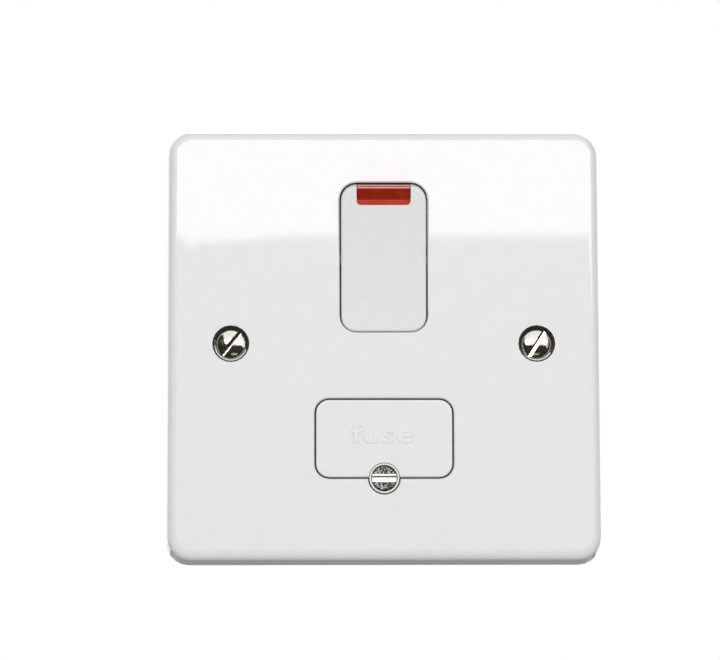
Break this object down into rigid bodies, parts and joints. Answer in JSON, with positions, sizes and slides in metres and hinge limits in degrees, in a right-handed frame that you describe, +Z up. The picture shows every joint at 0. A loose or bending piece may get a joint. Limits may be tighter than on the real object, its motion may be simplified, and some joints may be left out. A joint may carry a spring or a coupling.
{
  "type": "double pole switch",
  "caption": "White square wall plate with a rocker switch that has a red neon window, above a pull-out fuse carrier held by a slotted screw, with plate screws at both sides and a rear housing.",
  "frame": {"origin": "middle of the plate's rear edge, on the plane of the wall", "axes": "+X to the right of someone facing the plate, +Y back into the wall, +Z up"},
  "size_m": [0.086, 0.0286, 0.086],
  "materials": {
    "white_urea": "moulded urea formaldehyde, satin gloss",
    "rocker_white": "moulded thermoplastic, satin gloss",
    "housing_white": "moulded thermoset, fine matt",
    "red_lens": "moulded translucent red, polished",
    "brass": "pressed or machined, bright",
    "copper": "pressed copper strip, bright",
    "silver_alloy": "headed silver alloy, bright",
    "nickel": "nickel plate, polished",
    "zinc_steel": "zinc plate, satin",
    "spring_steel": "drawn wire or pressed strip",
    "nylon": "moulded nylon, natural",
    "ceramic": "fired ceramic tube, unglazed",
    "lamp_glass": "clear glass bulb",
    "resistor_lacquer": "dipped lacquer",
    "lead_wire": "tinned wire"
  },
  "bodies": {
    "frame": {"front_plate": "white_urea", "housing": "housing_white", "supply_live_terminal": "brass", "supply_neutral_terminal": "brass", "load_live_terminal": "brass", "load_neutral_terminal": "brass", "supply_live_screw": "zinc_steel", "supply_neutral_screw": "zinc_steel", "load_live_screw": "zinc_steel", "load_neutral_screw": "zinc_steel", "earth_terminal": "brass", "earth_screw_left": "zinc_steel", "earth_screw_right": "zinc_steel", "live_fixed_contact": "silver_alloy", "neutral_fixed_contact": "silver_alloy", "live_link": "brass", "neutral_link": "brass", "load_fuse_clip": "brass", "carrier_screw_insert": "brass", "plate_screw_left": "nickel", "plate_screw_right": "nickel", "housing_screw_1": "zinc_steel", "housing_screw_2": "zinc_steel", "housing_screw_3": "zinc_steel", "housing_screw_4": "zinc_steel", "neon_lamp": "lamp_glass", "neon_resistor": "resistor_lacquer", "neon_lead_live": "lead_wire", "neon_lead_middle": "lead_wire", "neon_lead_neutral": "lead_wire"},
    "rocker_body": {"rocker": "rocker_white", "neon_lens": "red_lens", "live_plunger_spring": "spring_steel", "neutral_plunger_spring": "spring_steel"},
    "live_plunger_body": {"live_plunger": "nylon"},
    "neutral_plunger_body": {"neutral_plunger": "nylon"},
    "live_bar": {"live_contact_bar": "copper", "live_moving_contact": "silver_alloy"},
    "neutral_bar": {"neutral_contact_bar": "copper", "neutral_moving_contact": "silver_alloy"},
    "carrier": {"fuse_carrier": "white_urea", "carrier_screw_cup": "white_urea", "carrier_screw_retainer": "spring_steel", "fuse_body": "ceramic", "fuse_cap_left": "nickel", "fuse_cap_right": "nickel"},
    "carrier_screw_body": {"carrier_screw": "zinc_steel"}
  },
  "joints": [
    {"name": "rocker_tilt", "type": "hinge", "parent": "frame", "child": "rocker_body", "pos_m": [0, -0.0052, 0.01725], "axis": [-1, 0, 0], "range_deg": [0, 12]},
    {"name": "live_plunger_slide", "type": "slide", "parent": "rocker_body", "child": "live_plunger_body", "axis": [0, -0.9945, -0.1045], "range_m": [0, 0.0005], "stiffness_N_per_m": 2000, "springref_m": -0.001, "deforming": ["live_plunger_spring"]},
    {"name": "neutral_plunger_slide", "type": "slide", "parent": "rocker_body", "child": "neutral_plunger_body", "axis": [0, -0.9945, -0.1045], "range_m": [0, 0.0005], "stiffness_N_per_m": 2000, "springref_m": -0.001, "deforming": ["neutral_plunger_spring"]},
    {"name": "live_bar_rock", "type": "hinge", "parent": "frame", "child": "live_bar", "pos_m": [-0.0047, 0.00495, 0.01725], "axis": [1, 0, 0], "range_deg": [0, 16]},
    {"name": "neutral_bar_rock", "type": "hinge", "parent": "frame", "child": "neutral_bar", "pos_m": [0.0047, 0.00495, 0.01725], "axis": [1, 0, 0], "range_deg": [0, 16]},
    {"name": "fuse_carrier_pull", "type": "slide", "parent": "frame", "child": "carrier", "axis": [0, -1, 0], "range_m": [0, 0.018]},
    {"name": "carrier_screw_turn", "type": "hinge", "parent": "carrier", "child": "carrier_screw_body", "pos_m": [0, -0.007, -0.0266], "axis": [0, -1, 0], "range_deg": [0, 1440]}
  ],
  "couplings": [
    {"joint": "live_bar_rock", "follows": "rocker_tilt", "ratio": 1.3333},
    {"joint": "neutral_bar_rock", "follows": "rocker_tilt", "ratio": 1.3333}
  ]
}
